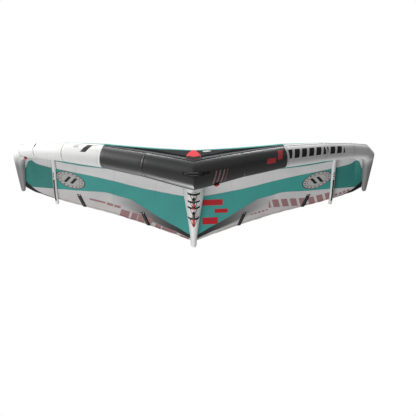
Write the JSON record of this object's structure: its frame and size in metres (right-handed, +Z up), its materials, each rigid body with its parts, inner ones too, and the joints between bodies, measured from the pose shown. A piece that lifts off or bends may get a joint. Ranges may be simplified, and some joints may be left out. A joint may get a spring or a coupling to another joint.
{
  "type": "wingfoil wing",
  "caption": "Inflatable hand-held wing for foil boards: swept tubular leading edge, arched canopy, centre strut with grips, slim outer struts.",
  "frame": {"origin": "on the plane of symmetry, below the middle of the wing's length from the nose grip to the tail of the centre strut, level with its lowest point", "axes": "+X to the side of the inflation valve, along the span; -Y towards the nose, +Y aft along the centre strut; +Z up, on the side away from the grips"},
  "size_m": [3.9324, 2.47, 0.7574],
  "materials": {
    "teal_ripstop": "woven ripstop, semi-matte",
    "teal_tip_ripstop": "woven ripstop, semi-matte",
    "black_dacron": "coated sailcloth",
    "white_dacron": "coated sailcloth",
    "grey_dacron": "coated sailcloth",
    "trailing_edge_tape": "sewn tape",
    "red_patch": "coated sailcloth",
    "pad": "matte reinforcing pad",
    "webbing": "woven webbing",
    "black_foam": "matte foam",
    "red_foam": "matte foam",
    "valve_black": "moulded",
    "valve_red": "moulded",
    "hose": "flexible hose",
    "batten": "glass-fibre strip",
    "bladder": "thin film"
  },
  "bodies": {
    "wing": {"batten_1_left": "batten", "batten_1_right": "batten", "batten_2_left": "batten", "batten_2_right": "batten", "batten_pocket_1_left": "black_dacron", "batten_pocket_1_right": "black_dacron", "batten_pocket_2_left": "black_dacron", "batten_pocket_2_right": "black_dacron", "canopy_main_left": "teal_ripstop", "canopy_main_right": "teal_ripstop", "canopy_tip_left": "teal_tip_ripstop", "canopy_tip_right": "teal_tip_ripstop", "center_air_passage": "hose", "center_strut": "white_dacron", "center_strut_bladder": "bladder", "deflation_valve_base": "valve_black", "deflation_valve_seat": "valve_red", "front_grip_black": "black_foam", "front_grip_core": "webbing", "front_grip_red": "red_foam", "front_handle_yoke_a": "webbing", "front_handle_yoke_b": "webbing", "handle_pad_1": "pad", "handle_pad_2": "pad", "handle_pad_3": "pad", "handle_pad_4": "pad", "inflation_valve_base": "valve_black", "inflation_valve_seat": "valve_red", "leading_edge_bladder": "bladder", "leading_edge_center": "black_dacron", "leading_edge_left": "white_dacron", "leading_edge_right": "white_dacron", "leash_patch": "webbing", "mini_air_passage_left": "hose", "mini_air_passage_right": "hose", "mini_strut_bladder_left": "bladder", "mini_strut_bladder_right": "bladder", "mini_strut_left": "white_dacron", "mini_strut_right": "white_dacron", "nose_handle_foot_left": "pad", "nose_handle_foot_right": "pad", "nose_patch": "red_patch", "rear_grip_black": "black_foam", "rear_grip_core": "webbing", "rear_grip_red": "red_foam", "rear_handle_yoke_a": "webbing", "rear_handle_yoke_b": "webbing", "tip_corner_patch_left": "black_dacron", "tip_corner_patch_right": "black_dacron", "tip_tube_left": "grey_dacron", "tip_tube_right": "grey_dacron", "trailing_edge_band_left": "trailing_edge_tape", "trailing_edge_band_right": "trailing_edge_tape"},
    "nose_handle": {"nose_handle_webbing": "webbing", "nose_handle_grip": "black_foam"},
    "inflation_cap": {"inflation_valve_cap": "valve_black"},
    "deflation_cap": {"deflation_valve_cap": "valve_black"}
  },
  "joints": [
    {"name": "nose_handle_swing", "type": "hinge", "parent": "wing", "child": "nose_handle", "pos_m": [0, -1.14161, 0.12579], "axis": [1, 0, 0], "range_deg": [-50, 50]},
    {"name": "inflation_cap_hinge", "type": "hinge", "parent": "wing", "child": "inflation_cap", "pos_m": [0.23794, -0.90697, 0.08045], "axis": [0.9425, 0, 0.3343], "range_deg": [0, 115]},
    {"name": "deflation_cap_hinge", "type": "hinge", "parent": "wing", "child": "deflation_cap", "pos_m": [-1.81723, -0.35689, 0.58593], "axis": [0.9859, 0, -0.1672], "range_deg": [0, 115]}
  ]
}
